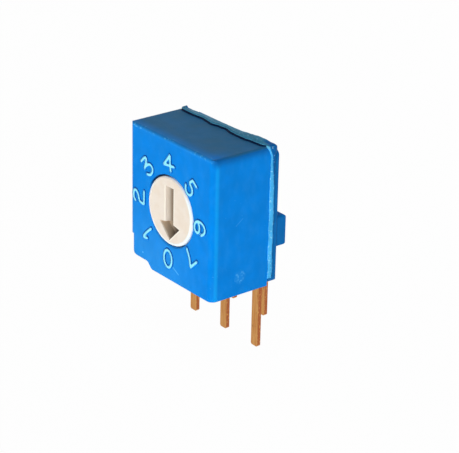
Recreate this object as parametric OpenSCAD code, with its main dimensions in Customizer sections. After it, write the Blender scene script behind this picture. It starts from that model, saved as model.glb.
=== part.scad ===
// Eight-position rotary switch for a printed board, mounted on edge.
// X runs across the front, Y from the front to the back, Z up from the board.
// The origin is on the board, at the middle terminal of the front row.

/* [Housing] */
// Width of the housing across the front
body_w = 6.8; // [6.7:0.05:9]
// Height of the housing above the board
body_h = 7.45; // [7.1:0.05:9]
// Thickness of the front wall round the dial
front_wall_t = 0.8; // [0.7:0.05:1.5]
// Radius of the round chamber behind the front wall
chamber_r = 2.75; // [2.7:0.01:2.78]
// Rounding of the upright front edges
edge_r = 0.34; // [0.1:0.02:0.5]
// Rounding of the top front edge
top_edge_r = 0.14; // [0.1:0.02:0.5]
// Rounding of the top corners in the front view
corner_r = 0.14; // [0.1:0.02:0.5]
// How far the lower left side stands back from the rest
relief_in = 0.12; // [0.05:0.01:0.2]
// Height at which the lower left side starts to stand back
relief_top = 1.75; // [1.2:0.05:2.5]
// Height over which the lower left side slopes back
relief_run = 0.3; // [0.2:0.02:0.5]
// Height of the notch at the lower left
notch_h = 0.33; // [0.2:0.01:0.5]
// Reach of the notch from the left side
notch_reach = 1.97; // [1.6:0.05:2.3]
// Length of the curve in which the notch runs out
notch_run = 0.52; // [0.5:0.01:0.8]
// Rounding of the corner above the notch
notch_corner_r = 0.55; // [0.3:0.05:0.8]

/* [Rear cover] */
// Thickness of the rear cover
cover_t = 0.6; // [0.5:0.02:1]
// Height of the cover's lower edge above the board
cover_lift = 0.05; // [0.03:0.01:0.3]
// How far the cover's top stays below the housing's
cover_drop = 0.25; // [0.1:0.01:0.3]
// Rounding of the cover's top corners
cover_corner_r = 0.6; // [0.3:0.05:1]
// Rounding of the cover's bottom corners
cover_foot_r = 0.35; // [0.2:0.05:0.8]
// Rounding of the cover's rear edges
cover_edge_r = 0.12; // [0.1:0.02:0.3]
// How far the rear pads stand off the cover
pad_t = 0.54; // [0.3:0.02:1]
// Width of a rear pad
pad_w = 1.1; // [0.8:0.05:1.5]
// How far the rear pads stand in from the cover's sides
pad_inset = 0.05; // [0:0.01:0.2]
// Height of the lower end of the rear pads
pad_low = 1.92; // [1.6:0.02:2.5]
// Height of the upper end of the rear pads
pad_high = 3.58; // [3:0.02:4]
// Rounding of the rear pads
pad_r = 0.15; // [0.05:0.01:0.25]
// Radius of the weld bead round the joint
bead_r = 0.17; // [0.1:0.01:0.18]
// Depth of the bead's middle behind the joint
bead_behind = 0.13; // [0.05:0.01:0.15]
// How far the bead's lip reaches forward over the housing's top
lip_reach = 0.45; // [0.3:0.01:0.6]
// Height of the lip above the housing's top
lip_h = 0.2; // [0.1:0.01:0.25]
// Rounding of the lip's upper edges
lip_r = 0.08; // [0.04:0.01:0.09]

/* [Dial] */
// Height of the dial's axis above the board
dial_z = 3.71; // [3.6:0.01:3.9]
// Radius of the dial's head
dial_r = 1.8; // [1.6:0.02:1.84]
// How far the dial stands proud of the front face
dial_proud = 0.02; // [0.01:0.01:0.4]
// Rounding of the dial's rim
dial_rim_r = 0.13; // [0.05:0.01:0.2]
// Radial clearance of the dial in the housing
dial_gap = 0.05; // [0.02:0.01:0.1]
// Width and depth of the chamfer at the mouth of the dial's hole
mouth_chamfer = 0.06; // [0.02:0.01:0.1]
// End play of the dial at each face of its flange
end_play = 0.03; // [0.02:0.01:0.05]
// Radius of the dial's flange
flange_r = 2.5; // [2.45:0.01:2.6]
// Thickness of the dial's flange
flange_t = 0.52; // [0.4:0.02:0.8]
// Radius of the dial's hub
hub_r = 1.38; // [1.36:0.01:1.42]
// Radius of the rounded trough of the arrow
trough_r = 0.31; // [0.2:0.01:0.4]
// Distance from the axis to the upper end of the trough
trough_top = 1.29; // [0.8:0.01:1.45]
// Distance from the axis to the arrow's point
arrow_tip = 1.53; // [1.3:0.01:1.58]
// Half the width of the arrowhead
arrow_half_w = 0.81; // [0.6:0.01:0.9]
// Distance from the axis to the barbs
barb_low = 0.72; // [0.65:0.01:0.9]
// How much higher the arrowhead's upper edge lies at the trough
barb_rise = 0.1; // [0:0.01:0.2]
// Depth of the arrowhead's pocket
arrow_depth = 0.5; // [0.4:0.02:0.65]

/* [Seal and washer] */
// Radius of the sealing ring's section
seal_r = 0.19; // [0.14:0.01:0.19]
// Clearance between the sealing ring and what it lies in
seal_gap = 0.02; // [0.01:0.01:0.04]
// Depth from the front face to the sealing ring's groove
groove_front = 0.36; // [0.2:0.02:0.4]
// Thickness of the thrust washer
washer_t = 0.1; // [0.06:0.01:0.2]
// Clearance round the thrust washer
washer_gap = 0.04; // [0.02:0.01:0.06]

/* [Detent] */
// Radius of a detent ball
ball_r = 0.4; // [0.3:0.01:0.4]
// Radius of the circle on which the balls lie
ball_circle_r = 2.1; // [2.05:0.01:2.12]
// How far a ball reaches into the flange
ball_bite = 0.08; // [0.05:0.01:0.1]
// Clearance round a ball
ball_gap = 0.02; // [0.01:0.005:0.03]
// Radius of the spring's wire
wire_r = 0.05; // [0.03:0.005:0.06]
// Number of turns of a spring
spring_turns = 4; // [3:1:5]
// Length of the ball cage
cage_t = 1.49; // [1.35:0.01:2]
// Radius of the hole through the ball cage
cage_bore_r = 1.5; // [1.47:0.01:1.52]
// Thickness of the cage behind the springs
cage_floor_t = 0.15; // [0.12:0.01:0.25]

/* [Contacts] */
// Thickness of the contact board
board_t = 0.54; // [0.4:0.02:1]
// Width of the contact board
board_w = 5.6; // [5.56:0.02:5.8]
// Height of the contact board
board_h = 5.6; // [5.56:0.02:5.8]
// Rounding of the contact board's corners
board_corner_r = 0.35; // [0.2:0.05:0.8]
// Clearance round the contact board and the ball cage
seat_gap = 0.02; // [0.01:0.005:0.04]
// Thickness of the contact tracks
track_t = 0.06; // [0.04:0.01:0.08]
// Width of a contact track
track_w = 0.18; // [0.12:0.01:0.18]
// Width of the link inside a track
link_w = 0.06; // [0.04:0.01:0.08]
// Radius of the common ring
common_r = 0.36; // [0.32:0.01:0.37]
// Radius of the track of weight 4
track_4_r = 0.68; // [0.66:0.01:0.69]
// Radius of the track of weight 2
track_2_r = 1.0; // [0.98:0.01:1.01]
// Radius of the track of weight 1
track_1_r = 1.32; // [1.3:0.01:1.32]
// Half the angle that a track covers at one position
pad_half_angle = 18; // [14:1:20]
// Height above the axis of the rivet to the track of weight 2
rivet_2_rise = 0.6; // [0.5:0.02:0.7]
// Thickness of the wiper's sheet
wiper_t = 0.08; // [0.05:0.01:0.1]
// Height of a contact bump on the wiper
bump_h = 0.19; // [0.15:0.01:0.25]
// Radius of a contact bump
bump_r = 0.06; // [0.04:0.005:0.07]
// Clearance between a bump and its track
contact_gap = 0.02; // [0.01:0.005:0.04]
// Radius of the stakes that hold the wiper
stake_r = 0.12; // [0.08:0.01:0.13]
// Radius of the stakes' heads
head_r = 0.2; // [0.16:0.01:0.22]
// Thickness of the stakes' heads
head_t = 0.07; // [0.05:0.01:0.1]
// Distance of the inner stake from the axis, both across and up
inner_stake = 0.42; // [0.4:0.01:0.44]
// Distance of the outer stake from the axis, both across and up
outer_stake = 0.82; // [0.79:0.01:0.83]
// Angle at which the root of the wiper starts
root_from = 100; // [95:1:110]
// Angle at which the root ends and the fingers start
root_to = 170; // [162:1:175]
// Angle by which the fingers run on past their bumps
finger_past = 5; // [4:1:10]

/* [Terminals] */
// Pitch of the terminals
pitch = 2.54; // [2.4:0.02:2.6]
// Width of a terminal
pin_w = 0.51; // [0.4:0.01:0.54]
// Thickness of the terminals' sheet
sheet_t = 0.2; // [0.15:0.01:0.25]
// Length of a terminal below the board
pin_l = 3.7; // [2.5:0.05:5]
// Width of a terminal's arm behind the contact board
arm_w = 0.4; // [0.3:0.01:0.42]
// Chamfer at the tip of a terminal
tip_chamfer = 0.07; // [0.02:0.01:0.12]
// Radius of a rivet through the contact board
rivet_r = 0.14; // [0.1:0.01:0.15]
// Middle radius of a bend in a rear terminal
bend_r = 0.25; // [0.2:0.01:0.35]
// Height above the axis at which the rear terminals start to bend
fold_rise = 0.9; // [0.85:0.01:1.2]
// Clearance round a terminal in the cover
pin_gap = 0.02; // [0.01:0.005:0.04]

/* [Hidden] */
$fn = 64;
// How far a cut runs on past what it cuts
trim = 0.5;
// The code has eight positions, and the first is straight down
positions = 8;
step_angle = 360 / positions;
first_angle = -90;

wall_back = front_wall_t;
washer_back = wall_back + washer_t;
flange_front = washer_back + end_play;
flange_back = flange_front + flange_t;
cage_front = flange_back + end_play;
cage_back = cage_front + cage_t;
track_front = cage_back - track_t;
body_d = cage_back + board_t;
cover_back = body_d + cover_t;
cover_top = body_h - cover_drop;
wiper_front = track_front - contact_gap - bump_h - wiper_t;
front_y = -(body_d + sheet_t / 2);

bore_r = dial_r + dial_gap;
seal_ring_r = dial_r + seal_gap + seal_r;
groove_r = seal_ring_r + seal_r + seal_gap;
seal_d = (groove_front + wall_back) / 2;
ball_d = flange_back + ball_r - ball_bite;
pocket_r = ball_r + ball_gap;
pocket_back = cage_back - cage_floor_t;
spring_r = ball_r - wire_r - ball_gap;
spring_front = ball_d + sqrt(pow(ball_r, 2) - pow(spring_r, 2)) + wire_r + ball_gap;
spring_back = pocket_back - wire_r;
notch_steps = 12;
fold_z = dial_z + fold_rise;
tab_z = fold_z + bend_r;
link_lap = link_w / 4;
finger_r = [common_r, track_4_r, track_2_r, track_1_r];
root_lap = 5;
coil_sides = 8;
coil_steps = 16 * spring_turns;
coil_rise = spring_back - spring_front;

// A shape of the front view, made solid between two depths behind the front face
module deep(d0, d1) {
    translate([0, front_y + d1, 0])
        rotate([90, 0, 0])
            linear_extrude(d1 - d0)
                children();
}

// A shape of the side view, with Y across and Z up, made solid across a width
module across(x0, x1) {
    translate([x0, 0, 0])
        rotate([90, 0, 90])
            linear_extrude(x1 - x0)
                children();
}

// Puts what is modelled upright round Z on the dial's axis, with Z as the depth
module on_axis() {
    translate([0, front_y, dial_z])
        rotate([-90, 0, 0])
            children();
}

// A cylinder on the dial's axis between two depths
module drum(r, d0, d1) {
    on_axis()
        translate([0, 0, d0])
            cylinder(r = r, h = d1 - d0);
}

// What a rounding takes off a corner at the origin with the solid at upper right
module corner_cut(r) {
    difference() {
        translate([-trim, -trim])
            square(r + trim);
        translate([r, r])
            circle(r);
    }
}

// A rectangle with one radius at the top corners and one at the bottom corners
module rounded_panel(x0, x1, z0, z1, top_r, foot_r) {
    difference() {
        translate([x0, z0])
            square([x1 - x0, z1 - z0]);
        translate([x0, z0])
            corner_cut(foot_r);
        translate([x1, z0])
            rotate(90)
                corner_cut(foot_r);
        translate([x1, z1])
            rotate(180)
                corner_cut(top_r);
        translate([x0, z1])
            rotate(270)
                corner_cut(top_r);
    }
}

// The notch at the lower left, which runs out in a soft S
module notch_cut() {
    left = -body_w / 2;
    run_out = [
        for (i = [0 : notch_steps])
            let (t = i / notch_steps)
            [left + notch_reach - notch_run * (1 - t), notch_h * (1 + cos(180 * t)) / 2]
    ];
    polygon(concat(
        [[left - trim, -trim], [left - trim, notch_h]],
        run_out,
        [[left + notch_reach, -trim]]
    ));
}

// What the lower left side stands back by
module relief_cut() {
    left = -body_w / 2;
    polygon([
        [left - trim, -trim],
        [left + relief_in, -trim],
        [left + relief_in, relief_top - relief_run],
        [left, relief_top],
        [left - trim, relief_top]
    ]);
}

// The housing's outline as seen from the front
module body_outline() {
    difference() {
        translate([-body_w / 2, 0])
            square([body_w, body_h]);
        translate([body_w / 2, body_h])
            rotate(180)
                corner_cut(corner_r);
        translate([-body_w / 2, body_h])
            rotate(270)
                corner_cut(corner_r);
        relief_cut();
        notch_cut();
        translate([-body_w / 2 + relief_in, notch_h])
            corner_cut(notch_corner_r);
    }
}

// The moulded block of the housing before it is hollowed
module housing_block() {
    difference() {
        intersection() {
            deep(0, body_d)
                body_outline();
            translate([0, 0, -trim])
                linear_extrude(body_h + 2 * trim)
                    difference() {
                        translate([-body_w / 2, front_y])
                            square([body_w, body_d]);
                        translate([-body_w / 2, front_y])
                            corner_cut(edge_r);
                        translate([body_w / 2, front_y])
                            rotate(90)
                                corner_cut(edge_r);
                    }
            across(-body_w / 2 - trim, body_w / 2 + trim)
                difference() {
                    translate([front_y, 0])
                        square([body_d, body_h]);
                    translate([front_y, body_h])
                        rotate(270)
                            corner_cut(top_edge_r);
                }
        }
        translate([-body_w / 2 + relief_in, front_y, -trim])
            linear_extrude(relief_top - relief_run + trim)
                corner_cut(edge_r);
    }
}

// The contact board's outline, grown by a gap for the recess that holds it
module board_shape(gap) {
    rounded_panel(
        -board_w / 2 - gap, board_w / 2 + gap,
        dial_z - board_h / 2 - gap, dial_z + board_h / 2 + gap,
        board_corner_r, board_corner_r
    );
}

// The moulded housing: a stepped hole for the dial, then a round chamber
module housing() {
    color("dodgerblue")
        difference() {
            housing_block();
            drum(bore_r, -trim, wall_back + trim);
            on_axis()
                cylinder(r1 = bore_r + mouth_chamfer, r2 = bore_r, h = mouth_chamfer);
            drum(groove_r, groove_front, wall_back + trim);
            drum(chamber_r, wall_back, body_d + trim);
            deep(cage_back, body_d + trim)
                board_shape(seat_gap);
        }
}

// A flat strip from point to point, with round ends, each stretch along X or Z
module strip(points, w) {
    for (i = [0 : len(points) - 2]) {
        a = points[i];
        b = points[i + 1];
        low = [min(a[0], b[0]), min(a[1], b[1])];
        size = [abs(a[0] - b[0]), abs(a[1] - b[1])];
        translate(size[0] > size[1] ? low - [0, w / 2] : low - [w / 2, 0])
            square(size[0] > size[1] ? [size[0], w] : [w, size[1]]);
    }
    for (p = points)
        translate(p)
            circle(d = w);
}

// The straight leg of a terminal between a height and its tip
module leg(x, top, gap = 0) {
    half = pin_w / 2 + gap;
    polygon([
        [x - half, top],
        [x - half, -pin_l + tip_chamfer],
        [x - half + tip_chamfer, -pin_l],
        [x + half - tip_chamfer, -pin_l],
        [x + half, -pin_l + tip_chamfer],
        [x + half, top]
    ]);
}

// Where each rivet stands, as X and Z
function on_ring(r, angle) = [r * cos(angle), dial_z + r * sin(angle)];
rivet_1 = on_ring(track_1_r, first_angle - step_angle);
rivet_4 = on_ring(track_4_r, 0);
rivet_2 = [-sqrt(pow(track_2_r, 2) - pow(rivet_2_rise, 2)), dial_z + rivet_2_rise];
rivet_front = on_ring(common_r, -90);
rivet_rear = on_ring(common_r, 90);

// The flats of the five terminals, grown by a gap for the grooves that hold them
module terminal_1_flat(gap = 0) {
    leg(-pitch, rivet_1[1], gap);
    strip([[-pitch, rivet_1[1]], rivet_1], arm_w + 2 * gap);
}

module terminal_4_flat(gap = 0) {
    leg(pitch, rivet_4[1], gap);
    strip([[pitch, rivet_4[1]], rivet_4], arm_w + 2 * gap);
}

module front_common_flat(gap = 0) {
    leg(0, rivet_front[1], gap);
    translate(rivet_front)
        circle(d = pin_w + 2 * gap);
}

// The stretch of a rear terminal that rises to its fold
module fold_stub(x, low, gap) {
    translate([x - pin_w / 2 - gap, low])
        square([pin_w + 2 * gap, fold_z - low]);
}

module terminal_2_flat(gap = 0) {
    strip([[-pitch, rivet_2[1]], rivet_2], arm_w + 2 * gap);
    fold_stub(-pitch, rivet_2[1], gap);
}

module rear_common_flat(gap = 0) {
    fold_stub(0, rivet_rear[1], gap);
    translate(rivet_rear)
        circle(d = pin_w + 2 * gap);
}

// The recesses in the cover in which the terminals' sheet lies
module terminal_grooves() {
    deep(body_d - trim, body_d + sheet_t) {
        terminal_1_flat(pin_gap);
        terminal_4_flat(pin_gap);
        front_common_flat(pin_gap);
        terminal_2_flat(pin_gap);
        rear_common_flat(pin_gap);
    }
    slot_low = fold_z - pin_gap;
    slot_high = tab_z + sheet_t / 2 + pin_gap;
    for (x = [-pitch, 0])
        deep(body_d - trim, cover_back + trim)
            translate([x - pin_w / 2 - pin_gap, slot_low])
                square([pin_w + 2 * pin_gap, slot_high - slot_low]);
}

// The flat plate of the rear cover with its rounded edges
module cover_plate() {
    intersection() {
        deep(body_d, cover_back)
            rounded_panel(
                -body_w / 2, body_w / 2, cover_lift, cover_top, cover_corner_r, cover_foot_r
            );
        across(-body_w / 2 - trim, body_w / 2 + trim)
            difference() {
                translate([front_y + body_d, cover_lift])
                    square([cover_t, cover_top - cover_lift]);
                translate([front_y + cover_back, cover_lift])
                    rotate(90)
                        corner_cut(cover_edge_r);
                translate([front_y + cover_back, cover_top])
                    rotate(180)
                        corner_cut(cover_edge_r);
            }
        translate([0, 0, -trim])
            linear_extrude(body_h + 2 * trim)
                difference() {
                    translate([-body_w / 2, front_y + body_d])
                        square([body_w, cover_t]);
                    translate([body_w / 2, front_y + cover_back])
                        rotate(180)
                            corner_cut(cover_edge_r);
                    translate([-body_w / 2, front_y + cover_back])
                        rotate(270)
                            corner_cut(cover_edge_r);
                }
    }
}

// One of the two pads that keep the rear face off a panel
module rear_pad(side) {
    outer = side * (body_w / 2 - pad_inset);
    inner = outer - side * pad_w;
    x0 = min(outer, inner);
    x1 = max(outer, inner);
    back = front_y + cover_back + pad_t;
    intersection() {
        deep(body_d + cover_t / 2, cover_back + pad_t)
            rounded_panel(x0, x1, pad_low, pad_high, pad_r, pad_r);
        across(x0, x1)
            difference() {
                translate([back - cover_t / 2 - pad_t, pad_low])
                    square([cover_t / 2 + pad_t, pad_high - pad_low]);
                translate([back, pad_low])
                    rotate(90)
                        corner_cut(pad_r);
                translate([back, pad_high])
                    rotate(180)
                        corner_cut(pad_r);
            }
    }
}

// The cover that closes the housing and holds the terminals
module rear_cover() {
    color("steelblue")
        difference() {
            union() {
                cover_plate();
                rear_pad(-1);
                rear_pad(1);
            }
            terminal_grooves();
        }
}

// A quarter of a round bar that turns a corner of the weld
module bead_corner(side, turn_r) {
    translate([side * (body_w / 2 - turn_r), 0, body_h - turn_r])
        rotate([90, 0, 0])
            intersection() {
                rotate_extrude()
                    translate([turn_r, 0])
                        circle(bead_r);
                translate([side > 0 ? 0 : -2 * turn_r, 0, -turn_r])
                    cube(2 * turn_r);
            }
}

// The lip that the bead forms along the top of the joint
module bead_lip(half_w) {
    front = front_y + body_d - lip_reach;
    middle = front_y + body_d + bead_behind;
    across(-half_w, half_w)
        difference() {
            translate([front, cover_top])
                square([middle - front, cover_drop + lip_h]);
            translate([front, body_h + lip_h])
                rotate(270)
                    corner_cut(lip_r);
            translate([middle, body_h + lip_h])
                rotate(180)
                    corner_cut(lip_r);
        }
}

// The bead of the weld along the sides and the top of the joint
module weld_bead() {
    turn_r = (corner_r + cover_corner_r) / 2;
    low = cover_lift + cover_foot_r;
    color("deepskyblue")
        difference() {
            union() {
                translate([0, front_y + body_d + bead_behind, 0]) {
                    for (side = [-1, 1]) {
                        translate([side * body_w / 2, 0, low])
                            cylinder(r = bead_r, h = body_h - turn_r - low);
                        bead_corner(side, turn_r);
                    }
                    translate([turn_r - body_w / 2, 0, body_h])
                        rotate([0, 90, 0])
                            cylinder(r = bead_r, h = body_w - 2 * turn_r);
                }
                bead_lip(body_w / 2 - turn_r);
            }
            deep(0, body_d)
                body_outline();
            deep(body_d, cover_back)
                rounded_panel(
                    -body_w / 2, body_w / 2, cover_lift, cover_top, cover_corner_r, cover_foot_r
                );
        }
}

// The arrow cut in the dial's face, with a rounded trough and a deeper head
module arrow_cut() {
    neck = barb_low - barb_rise;
    translate([0, front_y - dial_proud, dial_z - barb_low])
        cylinder(r = trough_r, h = barb_low + trough_top);
    deep(-dial_proud - trim, arrow_depth - dial_proud)
        translate([0, dial_z])
            polygon([
                [-trough_r, -neck],
                [-arrow_half_w, -barb_low],
                [0, -arrow_tip],
                [arrow_half_w, -barb_low],
                [trough_r, -neck]
            ]);
}

// The turned profile of the dial: head, flange and hub
module dial_profile() {
    difference() {
        translate([0, -dial_proud])
            square([dial_r, dial_proud + flange_front + flange_t / 2]);
        translate([dial_r, -dial_proud])
            rotate(90)
                corner_cut(dial_rim_r);
    }
    translate([0, flange_front])
        square([flange_r, flange_t]);
    translate([0, flange_back - flange_t / 2])
        square([hub_r, wiper_front - flange_back + flange_t / 2]);
}

// The two stakes on the hub that hold the wiper, headed over
module stakes() {
    for (at = [inner_stake, outer_stake])
        translate([-at, -at, wiper_front - flange_t / 2]) {
            cylinder(r = stake_r, h = flange_t / 2 + wiper_t + head_t);
            translate([0, 0, flange_t / 2 + wiper_t])
                cylinder(r = head_r, h = head_t);
        }
}

// The dial: arrow in the face, ring of dimples for the balls in the flange
module dial() {
    color("antiquewhite")
        difference() {
            union() {
                on_axis()
                    rotate_extrude()
                        dial_profile();
                on_axis()
                    stakes();
            }
            arrow_cut();
            on_axis()
                for (i = [0 : positions - 1])
                    rotate(i * step_angle)
                        translate([ball_circle_r, 0, ball_d])
                            sphere(pocket_r);
        }
}

// The sealing ring round the dial's head
module dial_seal() {
    color("darkred")
        on_axis()
            translate([0, 0, seal_d])
                rotate_extrude()
                    translate([seal_ring_r, 0])
                        circle(seal_r);
}

// The washer between the flange and the front wall
module thrust_washer() {
    color("gainsboro")
        difference() {
            drum(chamber_r - washer_gap, wall_back, washer_back);
            drum(dial_r + washer_gap, wall_back - trim, washer_back + trim);
        }
}

// The ring that guides the balls and holds their springs
module ball_cage() {
    color("dimgray")
        difference() {
            drum(chamber_r - seat_gap, cage_front, cage_back);
            drum(cage_bore_r, cage_front - trim, cage_back + trim);
            on_axis()
                for (side = [-1, 1])
                    translate([side * ball_circle_r, 0, cage_front - trim])
                        cylinder(r = pocket_r, h = pocket_back - cage_front + trim);
        }
}

// A detent ball, left or right of the axis
module ball(side) {
    color("silver")
        on_axis()
            translate([side * ball_circle_r, 0, ball_d])
                sphere(ball_r);
}

module left_ball() {
    ball(-1);
}

module right_ball() {
    ball(1);
}

// Points of a coil's wire: rings of sides round a helix
function coil_point(i, j) =
    let (turn = 360 * spring_turns * i / coil_steps, a = 360 * j / coil_sides)
    [
        (spring_r + wire_r * cos(a)) * cos(turn),
        (spring_r + wire_r * cos(a)) * sin(turn),
        spring_front + coil_rise * i / coil_steps + wire_r * sin(a)
    ];

// A coil spring behind a ball, its wire swept along the helix
module spring(side) {
    points = [
        for (i = [0 : coil_steps])
            for (j = [0 : coil_sides - 1])
                coil_point(i, j)
    ];
    skin = [
        for (i = [0 : coil_steps - 1])
            for (j = [0 : coil_sides - 1])
                let (k = (j + 1) % coil_sides, a = i * coil_sides, b = a + coil_sides)
                [a + j, a + k, b + k, b + j]
    ];
    first_end = [for (j = [coil_sides - 1 : -1 : 0]) j];
    last_end = [for (j = [0 : coil_sides - 1]) coil_steps * coil_sides + j];
    color("lightsteelblue")
        on_axis()
            translate([side * ball_circle_r, 0, 0])
                polyhedron(points, concat(skin, [first_end, last_end]), convexity = 8);
}

module left_spring() {
    spring(-1);
}

module right_spring() {
    spring(1);
}

// A wedge with its point on the axis, from one angle to another, under half a turn
module wedge(from, to) {
    reach = 2 * track_1_r;
    middle = (from + to) / 2;
    polygon([
        [0, 0],
        reach * [cos(from), sin(from)],
        2 * reach * [cos(middle), sin(middle)],
        reach * [cos(to), sin(to)]
    ]);
}

// A flat ring round the origin
module ring(r_in, r_out) {
    difference() {
        circle(r_out);
        circle(r_in);
    }
}

// The angle of a position, as seen from the front
function position_angle(n) = first_angle - n * step_angle;

// A code track: a thin linking ring with a pad from each first to last position
module code_track(r, spans) {
    inner = r - track_w / 2;
    translate([0, dial_z]) {
        ring(inner - link_w, inner + link_lap);
        for (s = spans)
            intersection() {
                ring(inner, r + track_w / 2);
                wedge(
                    position_angle(s[1]) - pad_half_angle,
                    position_angle(s[0]) + pad_half_angle
                );
            }
    }
}

// The four tracks: the common ring, and the weights 1, 2 and 4 of the code
module common_track() {
    color("gold")
        deep(track_front, cage_back)
            translate([0, dial_z])
                ring(common_r - track_w / 2, common_r + track_w / 2);
}

module track_1() {
    color("gold")
        deep(track_front, cage_back)
            code_track(track_1_r, [[1, 1], [3, 3], [5, 5], [7, 7]]);
}

module track_2() {
    color("gold")
        deep(track_front, cage_back)
            code_track(track_2_r, [[2, 3], [6, 7]]);
}

module track_4() {
    color("gold")
        deep(track_front, cage_back)
            code_track(track_4_r, [[4, 6], [5, 7]]);
}

// The flat of the wiper: its root and one curved finger for each track
module wiper_flat() {
    half = track_w / 2;
    root_r = track_1_r + half;
    intersection() {
        ring(common_r - half, root_r);
        wedge(root_from, root_to);
    }
    for (r = finger_r)
        intersection() {
            ring(r - half, r + half);
            wedge(root_to - root_lap, first_angle + 360 + finger_past);
        }
}

// The wiper: a sprung sheet with a bump near the end of each finger
module wiper() {
    color("goldenrod")
        difference() {
            union() {
                deep(wiper_front, wiper_front + wiper_t)
                    translate([0, dial_z])
                        wiper_flat();
                on_axis()
                    for (r = finger_r)
                        translate([0, r, wiper_front + wiper_t / 2])
                            cylinder(r = bump_r, h = wiper_t / 2 + bump_h);
            }
            on_axis()
                for (at = [inner_stake, outer_stake])
                    translate([-at, -at, wiper_front - trim])
                        cylinder(r = stake_r + contact_gap, h = wiper_t + 2 * trim);
        }
}

// The board that carries the tracks, drilled for the rivets
module contact_board() {
    color("darkolivegreen")
        difference() {
            deep(cage_back, body_d)
                board_shape(0);
            deep(cage_back - trim, body_d + trim)
                for (p = [rivet_1, rivet_2, rivet_4, rivet_front, rivet_rear])
                    translate(p)
                        circle(rivet_r + pin_gap);
        }
}

// A terminal of the front row: sheet behind the board and a rivet to its track
module front_terminal(rivet) {
    color("peru") {
        deep(body_d, body_d + sheet_t)
            children();
        deep(cage_back, body_d + sheet_t / 2)
            translate(rivet)
                circle(rivet_r);
    }
}

// A quarter ring in the side view, with its centre at the origin
module bend(quadrant) {
    intersection() {
        ring(bend_r - sheet_t / 2, bend_r + sheet_t / 2);
        rotate(quadrant * 90)
            square(bend_r + sheet_t);
    }
}

// The part of a rear terminal that leaves the cover and turns down to the board
module rear_tail(x) {
    half = sheet_t / 2;
    across(x - pin_w / 2, x + pin_w / 2) {
        translate([bend_r, fold_z])
            bend(1);
        translate([bend_r, tab_z - half])
            square([pitch - 2 * bend_r, sheet_t]);
        translate([pitch - bend_r, fold_z])
            bend(0);
    }
    translate([0, pitch, 0])
        rotate([90, 0, 0])
            translate([0, 0, -half])
                linear_extrude(sheet_t)
                    leg(x, fold_z);
}

// A terminal of the rear row, folded back over the cover and down
module rear_terminal(x, rivet) {
    color("peru") {
        front_terminal(rivet)
            children();
        rear_tail(x);
    }
}

module terminal_1() {
    front_terminal(rivet_1)
        terminal_1_flat();
}

module terminal_4() {
    front_terminal(rivet_4)
        terminal_4_flat();
}

module front_common_terminal() {
    front_terminal(rivet_front)
        front_common_flat();
}

module terminal_2() {
    rear_terminal(-pitch, rivet_2)
        terminal_2_flat();
}

module rear_common_terminal() {
    rear_terminal(0, rivet_rear)
        rear_common_flat();
}

housing();
rear_cover();
weld_bead();
dial();
dial_seal();
thrust_washer();
ball_cage();
left_ball();
right_ball();
left_spring();
right_spring();
wiper();
contact_board();
common_track();
track_1();
track_2();
track_4();
terminal_1();
terminal_4();
front_common_terminal();
terminal_2();
rear_common_terminal();
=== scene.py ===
"""Looks of a right-angle coded rotary switch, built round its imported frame.

The frame's nodes keep their shapes and places. This script adds the raised numerals, the
uneven bead of the weld, the finish of every surface, a pale floor, soft lamps and the camera.
Lengths in the classes are millimetres, and MM turns them into the frame's metres.
"""
import logging
import math
from dataclasses import dataclass, field
from enum import Enum
from typing import Sequence

import bmesh
import bpy
from mathutils import Matrix, Vector, noise


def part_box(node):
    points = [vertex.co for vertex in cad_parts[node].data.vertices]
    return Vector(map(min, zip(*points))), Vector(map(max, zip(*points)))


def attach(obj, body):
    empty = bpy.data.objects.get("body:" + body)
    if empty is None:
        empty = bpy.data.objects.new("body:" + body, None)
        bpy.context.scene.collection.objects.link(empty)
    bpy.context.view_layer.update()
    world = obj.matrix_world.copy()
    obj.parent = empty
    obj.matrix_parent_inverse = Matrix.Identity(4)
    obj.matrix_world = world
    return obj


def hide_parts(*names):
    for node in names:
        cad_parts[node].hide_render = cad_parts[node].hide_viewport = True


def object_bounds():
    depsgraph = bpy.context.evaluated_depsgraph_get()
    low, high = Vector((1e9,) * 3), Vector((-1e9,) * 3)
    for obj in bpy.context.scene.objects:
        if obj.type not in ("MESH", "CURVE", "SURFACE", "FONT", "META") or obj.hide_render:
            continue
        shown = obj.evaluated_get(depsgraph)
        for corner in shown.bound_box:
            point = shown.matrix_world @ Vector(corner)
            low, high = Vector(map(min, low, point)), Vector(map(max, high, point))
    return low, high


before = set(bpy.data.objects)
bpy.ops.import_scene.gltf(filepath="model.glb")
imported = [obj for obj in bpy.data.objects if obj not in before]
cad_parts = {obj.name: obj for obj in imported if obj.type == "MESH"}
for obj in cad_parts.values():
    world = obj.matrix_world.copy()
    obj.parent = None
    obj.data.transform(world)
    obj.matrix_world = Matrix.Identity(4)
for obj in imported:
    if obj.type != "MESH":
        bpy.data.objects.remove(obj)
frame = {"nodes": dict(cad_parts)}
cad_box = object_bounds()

MM = 0.001
ROOT_BODY = "switch_body"
LOG = logging.getLogger("switch")

Point = tuple[float, float]
Colour = tuple[float, float, float]
Paint = Colour | bpy.types.NodeSocket


def srgb(red: int, green: int, blue: int) -> Colour:
    """Turns a screen colour into the linear values that the shaders use.

    Args:
        red: Red from 0 to 255.
        green: Green from 0 to 255.
        blue: Blue from 0 to 255.

    Returns:
        The three linear values.
    """
    def linear(level: float) -> float:
        """Returns one linear value for a level from 0 to 1."""
        return level / 12.92 if level <= 0.04045 else ((level + 0.055) / 1.055) ** 2.4

    return linear(red / 255), linear(green / 255), linear(blue / 255)


def dimmed(colour: Colour, share: float) -> Colour:
    """Returns a share of a colour's light."""
    red, green, blue = colour
    return red * share, green * share, blue * share


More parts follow.
